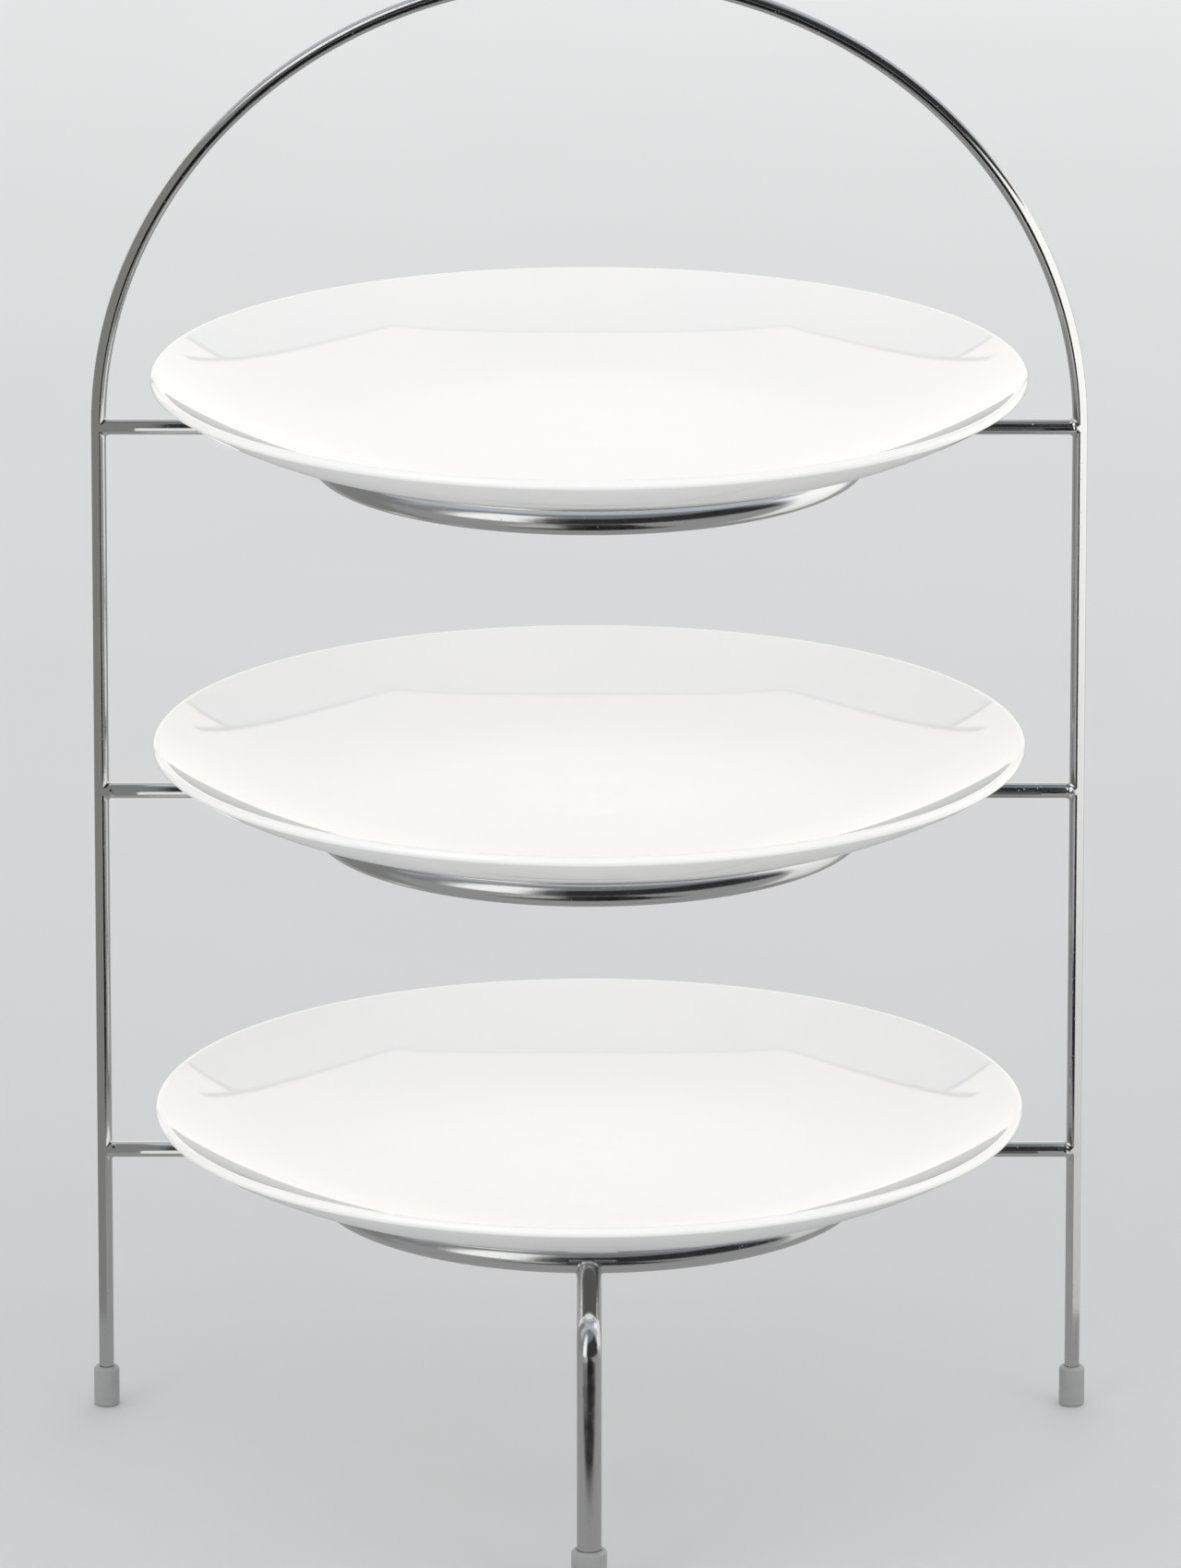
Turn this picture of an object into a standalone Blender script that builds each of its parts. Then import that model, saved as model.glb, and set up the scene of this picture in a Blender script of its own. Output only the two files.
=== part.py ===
"""Three-tier cake stand: a welded wire frame with an arched handle, and three loose plates.

Metres, +Z up. The stand rests on the plane z = 0, its handle lies in a plane across X, and its
single front leg points to -Y. The origin is under the centre of the whole stand.
"""

import math

import bmesh
import bpy

# Driving dimensions of the frame
WIRE_DIAMETER = 0.0046
ROD_DIAMETER = 0.0075
ARM_DIAMETER = 0.005
HANDLE_RISE = 0.143
LOWEST_RING_HEIGHT = 0.084
TIER_SPACING = 0.117
ARCH_SETBACK = 0.035
RING_RADIUS = 0.0823
FRONT_LEG_REACH = 0.147
FRONT_LEG_DROP = 0.003
FRONT_LEG_LAP = 0.0018
FRONT_BEND_RADIUS = 0.008

# Driving dimensions of the foot caps
CAP_HEIGHT = 0.0128
CAP_FLOOR = 0.0025
CAP_SHOULDER_RADIUS = 0.0013
CAP_MOUTH_EDGE = 0.0001
CAP_HEEL_RADIUS = 0.0006
SIDE_CAP_WALL = 0.0014
FRONT_CAP_WALL = 0.0014

# Driving dimensions of a plate
PLATE_RADIUS = 0.135
PLATE_FLAT_RADIUS = 0.061
PLATE_BOWL_RADIUS = 0.137
PLATE_FLOOR_THICKNESS = 0.005
PLATE_RIM_THICKNESS = 0.0032
FOOT_RING_WIDTH = 0.004
FOOT_RING_HEIGHT = 0.003
FOOT_RING_ROUND = 0.0008
FOOT_RING_PLAY = 0.005

# Clearances
WELD_GAP = 0.0003
REST_GAP = 0.0003
CAP_GAP = 0.0003
PLATE_TO_LEG_GAP = 0.0193

# Fineness of the round shapes
TURN_STEPS = 48
CAP_STEPS = 24
ARC_STEPS = 8
ROD_SIDES = 12
BEND_STEPS = 6
HANDLE_STEPS = 36
COPE_SIDES = 24

TIERS = ("lower", "middle", "upper")
SIDES = {"left": -1.0, "right": 1.0}

# Places worked out from the driving dimensions
WIRE_RADIUS = WIRE_DIAMETER / 2
ROD_RADIUS = ROD_DIAMETER / 2
LEG_X = math.sqrt(PLATE_RADIUS ** 2 - ARCH_SETBACK ** 2) + PLATE_TO_LEG_GAP + WIRE_RADIUS
RING_HEIGHTS = {tier: LOWEST_RING_HEIGHT + step * TIER_SPACING for step, tier in enumerate(TIERS)}
HANDLE_SPRING_HEIGHT = RING_HEIGHTS["upper"]
FRONT_CAP_RADIUS = ROD_RADIUS + CAP_GAP + FRONT_CAP_WALL
RING_CENTRE_Y = (FRONT_LEG_REACH + FRONT_CAP_RADIUS - PLATE_RADIUS) / 2
ARCH_Y = RING_CENTRE_Y + ARCH_SETBACK
FRONT_LEG_Y = RING_CENTRE_Y - FRONT_LEG_REACH
LEG_END_HEIGHT = CAP_FLOOR + CAP_GAP


def clear_file():
    """Empties the file, so that the script can run again in an open session."""
    for item in list(bpy.data.objects):
        bpy.data.objects.remove(item, do_unlink=True)
    for group in list(bpy.data.collections):
        bpy.data.collections.remove(group)


def new_collection(name):
    group = bpy.data.collections.new(name)
    bpy.context.scene.collection.children.link(group)
    return group


def new_material(name, colour, roughness, metallic, coat=0.0, transmission=0.0):
    material = bpy.data.materials.new(name)
    material.use_nodes = True
    shader = material.node_tree.nodes["Principled BSDF"]
    shader.inputs["Base Color"].default_value = (*colour, 1.0)
    shader.inputs["Roughness"].default_value = roughness
    shader.inputs["Metallic"].default_value = metallic
    shader.inputs["Coat Weight"].default_value = coat
    shader.inputs["Transmission Weight"].default_value = transmission
    material.diffuse_color = (*colour, 1.0)
    return material


def steel_material(name):
    return new_material(name, (0.62, 0.62, 0.61), roughness=0.16, metallic=1.0)


def porcelain_material(name):
    return new_material(name, (0.88, 0.88, 0.86), roughness=0.07, metallic=0.0, coat=0.5)


def cap_material(name):
    return new_material(name, (0.46, 0.47, 0.47), roughness=0.35, metallic=0.0, transmission=0.3)


def new_object(name, data, group, material=None):
    item = bpy.data.objects.new(name, data)
    group.objects.link(item)
    if material is not None:
        data.materials.append(material)
    return item


def smooth(item, angle=math.radians(40)):
    """Shades a mesh object smooth and keeps its real corners sharp."""
    item.data.shade_smooth()
    item.data.set_sharp_from_angle(angle=angle)


def arc(centre, radius, start, end, steps=ARC_STEPS):
    """Points of a circle in the profile plane, from the start angle to the end angle in degrees."""
    points = []
    for step in range(steps + 1):
        angle = math.radians(start + (end - start) * step / steps)
        points.append((centre[0] + radius * math.cos(angle), centre[1] + radius * math.sin(angle)))
    return points


def turned(name, profile, place, group, material, steps):
    """Turns a profile of (radius, height) points about the vertical axis through place."""
    shape = bmesh.new()
    corners = [shape.verts.new((radius, 0.0, height)) for radius, height in profile]
    for first, second in zip(corners, corners[1:]):
        shape.edges.new((first, second))
    data = bpy.data.meshes.new(name)
    shape.to_mesh(data)
    shape.free()
    item = new_object(name, data, group, material)
    item.location = place
    screw = item.modifiers.new("turn", "SCREW")
    screw.axis = "Z"
    screw.steps = steps
    screw.render_steps = steps
    screw.use_smooth_shade = True
    screw.use_merge_vertices = True
    screw.merge_threshold = 0.00005
    return item


def wire(name, points, diameter, group, material):
    """A round wire along a path, as a bevelled curve with filled ends."""
    curve = bpy.data.curves.new(name, "CURVE")
    curve.dimensions = "3D"
    curve.bevel_depth = diameter / 2
    curve.bevel_resolution = (ROD_SIDES - 4) // 2
    curve.use_fill_caps = True
    spline = curve.splines.new("POLY")
    spline.points.add(len(points) - 1)
    for point, place in zip(spline.points, points):
        point.co = (*place, 1.0)
    return new_object(name, curve, group, material)


def as_mesh(item, group):
    """Replaces a curve object with the mesh that it evaluates to, with its end caps welded on."""
    evaluated = item.evaluated_get(bpy.context.evaluated_depsgraph_get())
    data = bpy.data.meshes.new_from_object(evaluated)
    shape = bmesh.new()
    shape.from_mesh(data)
    bmesh.ops.remove_doubles(shape, verts=shape.verts, dist=0.00001)
    shape.to_mesh(data)
    shape.free()
    name = item.name
    place = item.matrix_world.copy()
    bpy.data.objects.remove(item, do_unlink=True)
    meshed = new_object(name, data, group)
    meshed.matrix_world = place
    return meshed


def bar(name, start_x, end_x, place_y, place_z, diameter, group, material):
    """A straight round bar along X, as a cylinder primitive."""
    shape = bmesh.new()
    bmesh.ops.create_cone(shape, cap_ends=True, segments=ROD_SIDES, radius1=diameter / 2,
                          radius2=diameter / 2, depth=abs(end_x - start_x))
    data = bpy.data.meshes.new(name)
    shape.to_mesh(data)
    shape.free()
    item = new_object(name, data, group, material)
    item.location = ((start_x + end_x) / 2, place_y, place_z)
    item.rotation_euler = (0.0, math.radians(90), 0.0)
    return item


def hoop(name, tube_radius, height, group, material=None):
    """A torus round the rings' axis."""
    bpy.ops.mesh.primitive_torus_add(
        major_radius=RING_RADIUS, minor_radius=tube_radius, major_segments=TURN_STEPS,
        minor_segments=ROD_SIDES, location=(0.0, RING_CENTRE_Y, height))
    item = bpy.context.object
    item.name = name
    item.data.name = name
    for owner in list(item.users_collection):
        owner.objects.unlink(item)
    group.objects.link(item)
    if material is not None:
        item.data.materials.append(material)
    return item


def as_cutter(item):
    item.hide_render = True
    item.display_type = "WIRE"
    return item


def cut(item, cutter):
    modifier = item.modifiers.new("cut_" + cutter.name, "BOOLEAN")
    modifier.operation = "DIFFERENCE"
    modifier.solver = "EXACT"
    modifier.object = cutter


def arch_path():
    """The handle and both side legs: a half ellipse that runs down into two straight legs."""
    points = [(-LEG_X, ARCH_Y, LEG_END_HEIGHT)]
    for step in range(HANDLE_STEPS + 1):
        angle = math.pi * (1.0 - step / HANDLE_STEPS)
        points.append((LEG_X * math.cos(angle), ARCH_Y,
                       HANDLE_SPRING_HEIGHT + HANDLE_RISE * math.sin(angle)))
    points.append((LEG_X, ARCH_Y, LEG_END_HEIGHT))
    return points


def front_leg_path():
    """Forwards from the lower ring, a little below its centre line, round the bend and down to the foot.

    The start lies inside the ring's rod, by the lap behind the rod's front.
    """
    level = RING_HEIGHTS["lower"] - FRONT_LEG_DROP
    bend_centre = (FRONT_LEG_Y + FRONT_BEND_RADIUS, level - FRONT_BEND_RADIUS)
    points = [(0.0, RING_CENTRE_Y - RING_RADIUS - ROD_RADIUS + FRONT_LEG_LAP, level)]
    for y, z in arc(bend_centre, FRONT_BEND_RADIUS, 90, 180, BEND_STEPS):
        points.append((0.0, y, z))
    points.append((0.0, FRONT_LEG_Y, LEG_END_HEIGHT))
    return points


def cap_profile(leg_radius, wall):
    """A soft cap with a blind socket for the leg, a round shoulder and a round heel."""
    socket = leg_radius + CAP_GAP
    outside = socket + wall
    shoulder = min(CAP_SHOULDER_RADIUS, wall - CAP_MOUTH_EDGE)
    profile = [(0.0, CAP_FLOOR), (socket, CAP_FLOOR), (socket, CAP_HEIGHT)]
    profile += arc((outside - shoulder, CAP_HEIGHT - shoulder), shoulder, 90, 0, steps=4)
    profile += arc((outside - CAP_HEEL_RADIUS, CAP_HEEL_RADIUS), CAP_HEEL_RADIUS, 0, -90, steps=3)
    profile.append((0.0, 0.0))
    return profile


def bowl_height(radius, centre_height, bowl_radius):
    """Height of a bowl's arc at a radius outside the flat middle."""
    return centre_height - math.sqrt(bowl_radius ** 2 - (radius - PLATE_FLAT_RADIUS) ** 2)


def plate_profile():
    """A coupe plate: flat middle, one sweep up to a round rim, and a foot ring underneath.

    Heights are above the plane of the ring that carries the plate. The underside is an arc that
    stays the rest gap away from the ring's rod.
    """
    offset = RING_RADIUS - PLATE_FLAT_RADIUS
    touching = PLATE_BOWL_RADIUS + ROD_RADIUS + REST_GAP
    centre_height = math.sqrt(touching ** 2 - offset ** 2)
    underside = centre_height - PLATE_BOWL_RADIUS
    floor = underside + PLATE_FLOOR_THICKNESS

    lip_radius = PLATE_RIM_THICKNESS / 2
    lip_reach = PLATE_RADIUS - lip_radius
    lip_height = bowl_height(lip_reach, centre_height, PLATE_BOWL_RADIUS - lip_radius)
    rim_slope = math.degrees(math.asin((lip_reach - PLATE_FLAT_RADIUS) / (PLATE_BOWL_RADIUS - lip_radius)))
    lip = arc((lip_reach, lip_height), lip_radius, 90 + rim_slope, rim_slope - 90)

    run = lip[0][0] - PLATE_FLAT_RADIUS
    rise = lip[0][1] - floor
    inner_radius = (run ** 2 + rise ** 2) / (2 * rise)
    inner_slope = math.degrees(math.asin(run / inner_radius))
    inside = arc((PLATE_FLAT_RADIUS, floor + inner_radius), inner_radius, -90, inner_slope - 90)

    foot_outside = RING_RADIUS - ROD_RADIUS - FOOT_RING_PLAY
    foot_inside = foot_outside - FOOT_RING_WIDTH
    foot_top = bowl_height(foot_outside, centre_height, PLATE_BOWL_RADIUS)
    foot_bottom = underside - FOOT_RING_HEIGHT
    foot_slope = math.degrees(math.asin((foot_outside - PLATE_FLAT_RADIUS) / PLATE_BOWL_RADIUS))
    outside = arc((PLATE_FLAT_RADIUS, centre_height), PLATE_BOWL_RADIUS, rim_slope - 90, foot_slope - 90)

    heel = min(FOOT_RING_ROUND, FOOT_RING_WIDTH / 3)
    profile = [(0.0, floor)] + inside + lip[1:] + outside[1:-1] + [(foot_outside, foot_top)]
    profile += arc((foot_outside - heel, foot_bottom + heel), heel, 0, -90, steps=2)
    profile += arc((foot_inside + heel, foot_bottom + heel), heel, -90, -180, steps=2)
    profile += [(foot_inside, underside), (0.0, underside)]
    return profile


def build_ring_copes(cutters):
    """Cutters that hollow the ends of the arms and of the front leg to fit round a ring's rod."""
    return {tier: as_cutter(hoop(tier + "_ring_cope", ROD_RADIUS + WELD_GAP, height, cutters))
            for tier, height in RING_HEIGHTS.items()}


def build_leg_copes(cutters):
    """Cutters that hollow the outer ends of the arms to fit round a side leg."""
    copes = {}
    for side, sign in SIDES.items():
        shape = bmesh.new()
        bmesh.ops.create_cone(shape, cap_ends=True, segments=COPE_SIDES,
                              radius1=WIRE_RADIUS + WELD_GAP, radius2=WIRE_RADIUS + WELD_GAP,
                              depth=HANDLE_SPRING_HEIGHT + TIER_SPACING)
        data = bpy.data.meshes.new(side + "_leg_cope")
        shape.to_mesh(data)
        shape.free()
        item = new_object(side + "_leg_cope", data, cutters)
        item.location = (sign * LEG_X, ARCH_Y, HANDLE_SPRING_HEIGHT / 2)
        copes[side] = as_cutter(item)
    return copes


def build_arch(group):
    wire("arch_wire", arch_path(), WIRE_DIAMETER, group, steel_material("arch_steel"))


def build_rings(group):
    for tier, height in RING_HEIGHTS.items():
        ring = hoop(tier + "_ring", ROD_RADIUS, height, group, steel_material(tier + "_ring_steel"))
        smooth(ring)


def build_arms(group, ring_copes, leg_copes):
    """Two short arms a tier, each in line with the other, from the ring out to the side legs."""
    ring_x = math.sqrt(RING_RADIUS ** 2 - ARCH_SETBACK ** 2)
    for tier, height in RING_HEIGHTS.items():
        for side, sign in SIDES.items():
            name = tier + "_" + side + "_arm"
            arm = bar(name, sign * ring_x, sign * LEG_X, ARCH_Y, height, ARM_DIAMETER, group,
                      steel_material(name + "_steel"))
            cut(arm, ring_copes[tier])
            cut(arm, leg_copes[side])
            smooth(arm)


def build_front_leg(group, ring_copes):
    leg = as_mesh(wire("front_leg", front_leg_path(), ROD_DIAMETER, group, None), group)
    leg.data.materials.append(steel_material("front_leg_steel"))
    cut(leg, ring_copes["lower"])
    smooth(leg)


def build_foot_caps(group):
    for side, sign in SIDES.items():
        turned(side + "_foot_cap", cap_profile(WIRE_RADIUS, SIDE_CAP_WALL), (sign * LEG_X, ARCH_Y, 0.0),
               group, cap_material(side + "_cap_plastic"), CAP_STEPS)
    turned("front_foot_cap", cap_profile(ROD_RADIUS, FRONT_CAP_WALL), (0.0, FRONT_LEG_Y, 0.0),
           group, cap_material("front_cap_plastic"), CAP_STEPS)


def build_plates(group):
    for tier, height in RING_HEIGHTS.items():
        turned(tier + "_plate", plate_profile(), (0.0, RING_CENTRE_Y, height),
               group, porcelain_material(tier + "_plate_porcelain"), TURN_STEPS)


def main():
    clear_file()
    stand = new_collection("tiered_cake_stand")
    cutters = new_collection("cutters")
    ring_copes = build_ring_copes(cutters)
    leg_copes = build_leg_copes(cutters)
    build_arch(stand)
    build_rings(stand)
    build_arms(stand, ring_copes, leg_copes)
    build_front_leg(stand, ring_copes)
    build_foot_caps(stand)
    build_plates(stand)


main()
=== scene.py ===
"""Looks of a three-tier cake stand: bright welded wire, glazed plates and soft foot caps.

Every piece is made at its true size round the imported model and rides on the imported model's bodies.
"""

import logging
import math
import random
from dataclasses import dataclass, field
from enum import Enum

import bmesh
import bpy
from bmesh.types import BMEdge, BMesh, BMVert
from bpy.types import Material, Node, NodeSocket, NodeTree, Object
from mathutils import Matrix, Vector

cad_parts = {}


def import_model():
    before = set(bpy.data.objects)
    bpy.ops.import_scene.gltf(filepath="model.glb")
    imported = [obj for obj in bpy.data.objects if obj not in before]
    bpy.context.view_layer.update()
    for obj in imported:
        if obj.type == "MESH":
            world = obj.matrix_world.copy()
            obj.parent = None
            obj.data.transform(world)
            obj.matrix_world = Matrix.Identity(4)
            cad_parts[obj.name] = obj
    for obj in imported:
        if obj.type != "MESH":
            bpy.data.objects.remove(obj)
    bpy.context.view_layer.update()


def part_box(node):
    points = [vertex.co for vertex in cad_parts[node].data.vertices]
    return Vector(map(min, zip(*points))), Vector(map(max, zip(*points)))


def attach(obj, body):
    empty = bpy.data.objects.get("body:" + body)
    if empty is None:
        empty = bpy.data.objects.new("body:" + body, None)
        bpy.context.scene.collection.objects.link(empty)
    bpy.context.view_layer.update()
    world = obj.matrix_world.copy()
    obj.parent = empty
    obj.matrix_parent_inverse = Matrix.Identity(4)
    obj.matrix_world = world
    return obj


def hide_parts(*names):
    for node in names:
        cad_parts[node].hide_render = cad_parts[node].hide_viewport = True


LOG = logging.getLogger("cake_stand")
MM = 0.001
UP = Vector((0, 0, 1))
SHARP_ANGLE = math.radians(42)
MERGE_DISTANCE = 1e-6
FRAME_BODY = "frame"

Pair = tuple[float, float]
Profile = list[Pair]


class Tier(Enum):
    """The three levels of the stand, lowest first."""

    LOWER = "lower"
    MIDDLE = "middle"
    UPPER = "upper"


class Side(Enum):
    """Left and right of the stand."""

    LEFT = "left"
    RIGHT = "right"

    @property
    def sign(self) -> float:
        """The side's sign along X."""
        return -1.0 if self is Side.LEFT else 1.0


class Slot(Enum):
    """Names of the stand's material slots."""

    STEEL = "steel"
    PORCELAIN = "porcelain"
    CAP = "cap_plastic"


# ---- colours and nodes


def srgb(code: str, strength: float = 1.0) -> tuple[float, float, float, float]:
    """Turns an sRGB hex colour into the linear colour that a shader takes.

    Args:
        code: Six hex digits.
        strength: What its red, green and blue are multiplied by.

    Returns:
        Linear red, green, blue and an alpha of 1.
    """
    channels = []
    for start in (0, 2, 4):
        value = int(code[start:start + 2], 16) / 255
        linear = value / 12.92 if value <= 0.04045 else ((value + 0.055) / 1.055) ** 2.4
        channels.append(linear * strength)
    return (*channels, 1.0)


def empty_tree(block: Material | bpy.types.World) -> NodeTree:
    """Turns nodes on for a material or world and returns its tree, with nothing in it."""
    block.use_nodes = True
    block.node_tree.nodes.clear()
    return block.node_tree


def add_node(tree: NodeTree, kind: str, values: dict | None = None) -> Node:
    """Adds a node and sets it up.

    Args:
        tree: The node tree that takes the node.
        kind: The node's Blender type name.
        values: Property names, or input names or numbers, each with a value or the socket that feeds it.

    Returns:
        The new node.
    """
    node = tree.nodes.new(kind)
    for name, value in (values or {}).items():
        if isinstance(value, NodeSocket):
            tree.links.new(value, node.inputs[name])
        elif isinstance(name, str) and hasattr(node, name):
            setattr(node, name, value)
        else:
            node.inputs[name].default_value = value
    return node


def map_range(tree: NodeTree, value: NodeSocket, old: Pair, new: Pair, **more: object) -> NodeSocket:
    """Moves a value from one range to another and holds it at the ends.

    Args:
        tree: The node tree.
        value: The value.
        old: Two values.
        new: What it becomes at each of them.
        more: Further properties of the node.

    Returns:
        The moved value.
    """
    return add_node(tree, "ShaderNodeMapRange", {
        "Value": value, "From Min": old[0], "From Max": old[1], "To Min": new[0], "To Max": new[1],
        **more}).outputs["Result"]


class Surface:
    """A new material, with the patterns that finishes are made of."""

    def __init__(self, name: str) -> None:
        """Starts the material.

        Args:
            name: Its name.
        """
        self.material = bpy.data.materials.new(name)
        self.tree = empty_tree(self.material)
        self.place = add_node(self.tree, "ShaderNodeTexCoord").outputs["Object"]

    def noise(self, size_mm: float, detail: float, **more: float) -> NodeSocket:
        """A noise pattern's value.

        Args:
            size_mm: Width of its features.
            detail: How many finer layers it has.
            more: Further inputs of the noise node.

        Returns:
            The pattern's socket.
        """
        return add_node(self.tree, "ShaderNodeTexNoise", {
            "Vector": self.place, "Scale": 1.0 / (size_mm * MM), "Detail": detail, **more}).outputs["Fac"]

    def mix(self, first: str, second: str, share: NodeSocket) -> NodeSocket:
        """A colour between two sRGB colours: the first where the share is 0, the second where it is 1."""
        return add_node(self.tree, "ShaderNodeMix", {
            "data_type": "RGBA", 0: share, 6: srgb(first), 7: srgb(second)}).outputs[2]

    def relief(self, depth_mm: float, height: NodeSocket, **more: object) -> NodeSocket:
        """The normal of a fine relief.

        Args:
            depth_mm: Its depth.
            height: Its height pattern.
            more: Further inputs or properties of the bump node.

        Returns:
            The normal's socket.
        """
        return add_node(self.tree, "ShaderNodeBump", {
            "Strength": 1.0, "Distance": depth_mm * MM, "Height": height, **more}).outputs["Normal"]

    def finish(self, values: dict) -> Material:
        """Puts a Principled shader with these inputs on the output and returns the material."""
        shader = add_node(self.tree, "ShaderNodeBsdfPrincipled", values)
        add_node(self.tree, "ShaderNodeOutputMaterial", {"Surface": shader.outputs["BSDF"]})
        return self.material


def sunk_light(weight: float, depth_mm: float) -> dict:
    """Shader inputs that let light sink a little into the surface.

    Args:
        weight: How much of the light does so.
        depth_mm: How deep it goes.
    """
    return {"Subsurface Weight": weight, "Subsurface Radius": (depth_mm,) * 3, "Subsurface Scale": MM}


# ---- finishes


@dataclass(frozen=True)
class PolishedSteel:
    """Nickel-chrome plated steel wire, drawn round and polished bright.

    The plating mirrors the room with a slight blur. Polishing leaves soft cloudy patches a few
    millimetres wide, and the plating has pinholes that show as specks in the dark reflections.
    """

    name: str = "polished_plated_steel"
    colour: str = "C9C9C7"
    roughness_low: float = 0.08
    roughness_high: float = 0.15
    cloud_mm: float = 6.0
    cloud_levels: Pair = (0.3, 0.7)
    grain_mm: float = 0.6
    grain_depth_mm: float = 0.004
    speck_mm: float = 1.6
    speck_share: float = 0.13
    speck_depth_mm: float = 0.05

    def build(self) -> Material:
        """Makes the material and returns it."""
        surface = Surface(self.name)
        clouds = surface.noise(self.cloud_mm, 3.0, Roughness=0.6)
        blur = map_range(surface.tree, clouds, self.cloud_levels, (self.roughness_low, self.roughness_high))
        cells = add_node(surface.tree, "ShaderNodeTexVoronoi", {
            "Vector": surface.place, "Scale": 1.0 / (self.speck_mm * MM), "Randomness": 1.0})
        pits = map_range(surface.tree, cells.outputs["Distance"], (0.0, self.speck_share), (1.0, 0.0))
        fine = surface.relief(self.grain_depth_mm, surface.noise(self.grain_mm, 2.0))
        pitted = surface.relief(self.speck_depth_mm, pits, Normal=fine, invert=True)
        return surface.finish({"Base Color": srgb(self.colour), "Metallic": 1.0, "Roughness": blur,
                               "Normal": pitted})


@dataclass(frozen=True)
class GlazedPorcelain:
    """Hard-paste porcelain under a clear, fired glaze.

    The body is a warm white. The glaze is as smooth as glass, with a slow waviness from flowing
    in the kiln, and it pools a little, which shifts the white very slightly from place to place.
    """

    name: str = "glazed_porcelain"
    warm_white: str = "F7F5F1"
    cool_white: str = "F1F2F2"
    pool_mm: float = 45.0
    wave_mm: float = 14.0
    wave_depth_mm: float = 0.012
    roughness: float = 0.035
    ior: float = 1.5
    glow_mm: float = 1.2
    glow: float = 0.08

    def build(self) -> Material:
        """Makes the material and returns it."""
        surface = Surface(self.name)
        white = surface.mix(self.warm_white, self.cool_white, surface.noise(self.pool_mm, 2.0))
        flow = surface.relief(self.wave_depth_mm, surface.noise(self.wave_mm, 1.0))
        return surface.finish({"Base Color": white, "Normal": flow, "Roughness": self.roughness,
                               "IOR": self.ior, **sunk_light(self.glow, self.glow_mm)})


@dataclass(frozen=True)
class BarePorcelain:
    """The wiped, unglazed face of a foot ring: dry, matt and faintly sandy, a shade creamier."""

    name: str = "bare_porcelain_foot"
    pale: str = "E9E5DC"
    dark: str = "D8D2C6"
    grain_mm: float = 0.8
    grain_depth_mm: float = 0.03
    roughness: float = 0.75

    def build(self) -> Material:
        """Makes the material and returns it."""
        surface = Surface(self.name)
        grain = surface.noise(self.grain_mm, 4.0)
        return surface.finish({"Base Color": surface.mix(self.pale, self.dark, grain),
                               "Normal": surface.relief(self.grain_depth_mm, grain),
                               "Roughness": self.roughness})


@dataclass(frozen=True)
class SoftCapPlastic:
    """Natural, undyed soft PVC, moulded as push-on caps.

    It is milky and lets some light through, with a satin skin and faint handling marks.
    """

    name: str = "milky_soft_pvc"
    pale: str = "A0A19F"
    dark: str = "8F9091"
    cloud_mm: float = 5.0
    skin_mm: float = 0.7
    skin_depth_mm: float = 0.01
    roughness_low: float = 0.32
    roughness_high: float = 0.48
    glow: float = 0.35
    glow_mm: float = 2.0

    def build(self) -> Material:
        """Makes the material and returns it."""
        surface = Surface(self.name)
        clouds = surface.noise(self.cloud_mm, 3.0)
        satin = map_range(surface.tree, clouds, (0.0, 1.0), (self.roughness_low, self.roughness_high))
        skin = surface.relief(self.skin_depth_mm, surface.noise(self.skin_mm, 2.0))
        return surface.finish({"Base Color": surface.mix(self.pale, self.dark, clouds), "Roughness": satin,
                               "Normal": skin, **sunk_light(self.glow, self.glow_mm)})


@dataclass(frozen=True)
class Finishes:
    """The stand's materials, each made once and shared by the pieces that have it."""

    steel: Material
    rod_steel: Material
    porcelain: Material
    bare_foot: Material
    cap: Material

    @classmethod
    def make(cls) -> "Finishes":
        """Builds every finish."""
        thick_rod = PolishedSteel("polished_plated_rod", roughness_low=0.14, roughness_high=0.24)
        return cls(PolishedSteel().build(), thick_rod.build(), GlazedPorcelain().build(),
                   BarePorcelain().build(), SoftCapPlastic().build())


# ---- shaping


@dataclass(frozen=True)
class Station:
    """One round cross-section of a wire: where it is, which way the wire heads, and its radius."""

    place: Vector
    heading: Vector
    radius: float

    def matrix(self, across: Vector) -> Matrix:
        """Places a unit circle here, with its local X along a direction that lies across the wire.

        Args:
            across: A unit vector at right angles to the heading.

        Returns:
            The matrix that takes the unit circle in the XY plane to this section.
        """
        heading = self.heading.normalized()
        turn = Matrix((across, heading.cross(across), heading)).transposed().to_4x4()
        return Matrix.Translation(self.place) @ turn @ Matrix.Scale(self.radius, 4)


def sweep(stations: list[Station], across: Vector, sides: int) -> BMesh:
    """Draws a round wire through its stations by extruding one section into the next.

    Args:
        stations: The sections in order. They all lie in the plane that across stands on.
        across: A unit vector at right angles to every heading.
        sides: Corners in each section.

    Returns:
        A closed mesh with a cap at each end.
    """
    shape = bmesh.new()
    before = stations[0].matrix(across)
    bmesh.ops.create_circle(shape, cap_ends=True, radius=1.0, segments=sides, matrix=before)
    rim = list(shape.edges)
    for station in stations[1:]:
        after = station.matrix(across)
        grown = bmesh.ops.extrude_edge_only(shape, edges=rim)["geom"]
        fresh = [part for part in grown if isinstance(part, BMVert)]
        bmesh.ops.transform(shape, matrix=after @ before.inverted(), verts=fresh)
        newest = set(fresh)
        rim = [part for part in grown if isinstance(part, BMEdge)
               and part.verts[0] in newest and part.verts[1] in newest]
        before = after
    bmesh.ops.contextual_create(shape, geom=rim)
    bmesh.ops.recalc_face_normals(shape, faces=shape.faces)
    return shape


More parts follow.
